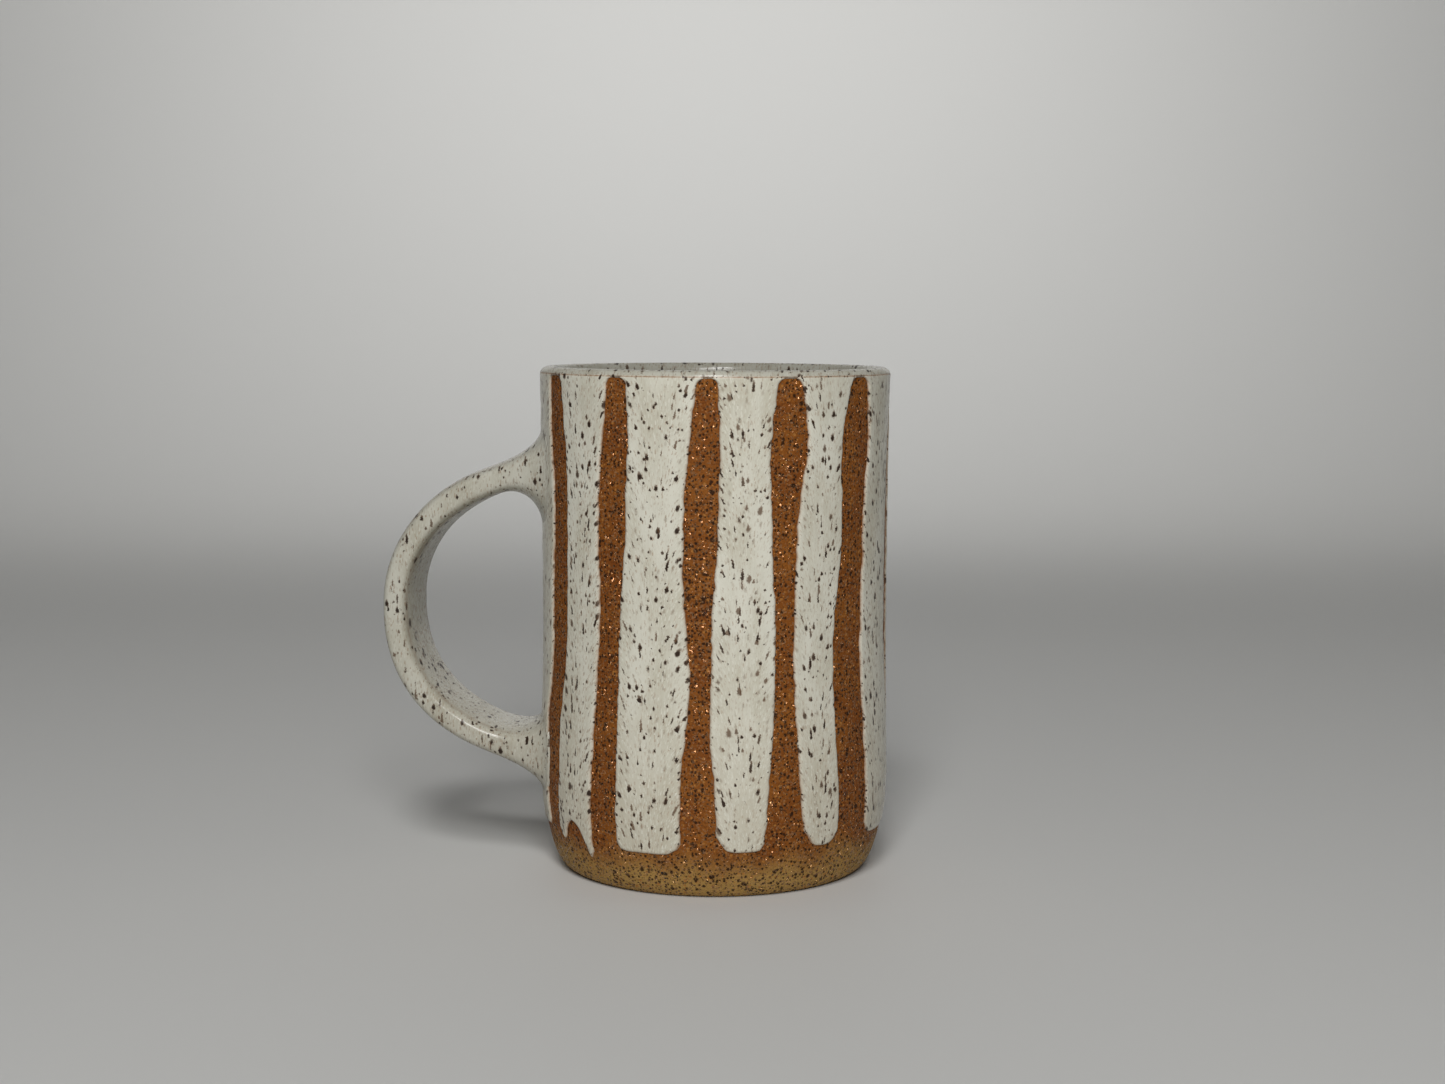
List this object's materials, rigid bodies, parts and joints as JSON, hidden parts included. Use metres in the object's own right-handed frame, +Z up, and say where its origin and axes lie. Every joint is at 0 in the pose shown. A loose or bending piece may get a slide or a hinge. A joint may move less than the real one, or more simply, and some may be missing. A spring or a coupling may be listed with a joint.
{
  "type": "ceramic mug",
  "caption": "Tall hand-thrown stoneware mug with a pulled strap handle, white inside and lip, and speckled white glaze stripes brushed down the bare brown clay.",
  "frame": {"origin": "centre of the flat foot, on the plane that the mug stands on", "axes": "+Z up along the cup's axis; the handle lies along -X, and its middle plane is XZ"},
  "size_m": [0.1231, 0.085, 0.122],
  "materials": {
    "stoneware": "bare toasted stoneware, slightly glittery and rough, with fine black iron specks",
    "slip": "scored joint slip of the same clay, matt, sealed between the handle roots and the wall",
    "speckled_glaze": "glossy off-white glaze with brown-black iron specks and streaks, tan where it breaks thin over edges"
  },
  "bodies": {
    "root": {"body": "stoneware", "handle": "stoneware", "upper_slip_joint": "slip", "lower_slip_joint": "slip", "liner_glaze": "speckled_glaze", "rim_glaze": "speckled_glaze", "handle_glaze": "speckled_glaze", "handle_side_stripe": "speckled_glaze", "glaze_stripe_01": "speckled_glaze", "glaze_stripe_02": "speckled_glaze", "glaze_stripe_03": "speckled_glaze", "glaze_stripe_04": "speckled_glaze", "glaze_stripe_05": "speckled_glaze", "glaze_stripe_06": "speckled_glaze", "glaze_stripe_07": "speckled_glaze", "glaze_stripe_08": "speckled_glaze", "glaze_stripe_09": "speckled_glaze", "glaze_stripe_10": "speckled_glaze", "glaze_stripe_11": "speckled_glaze"}
  },
  "joints": []
}
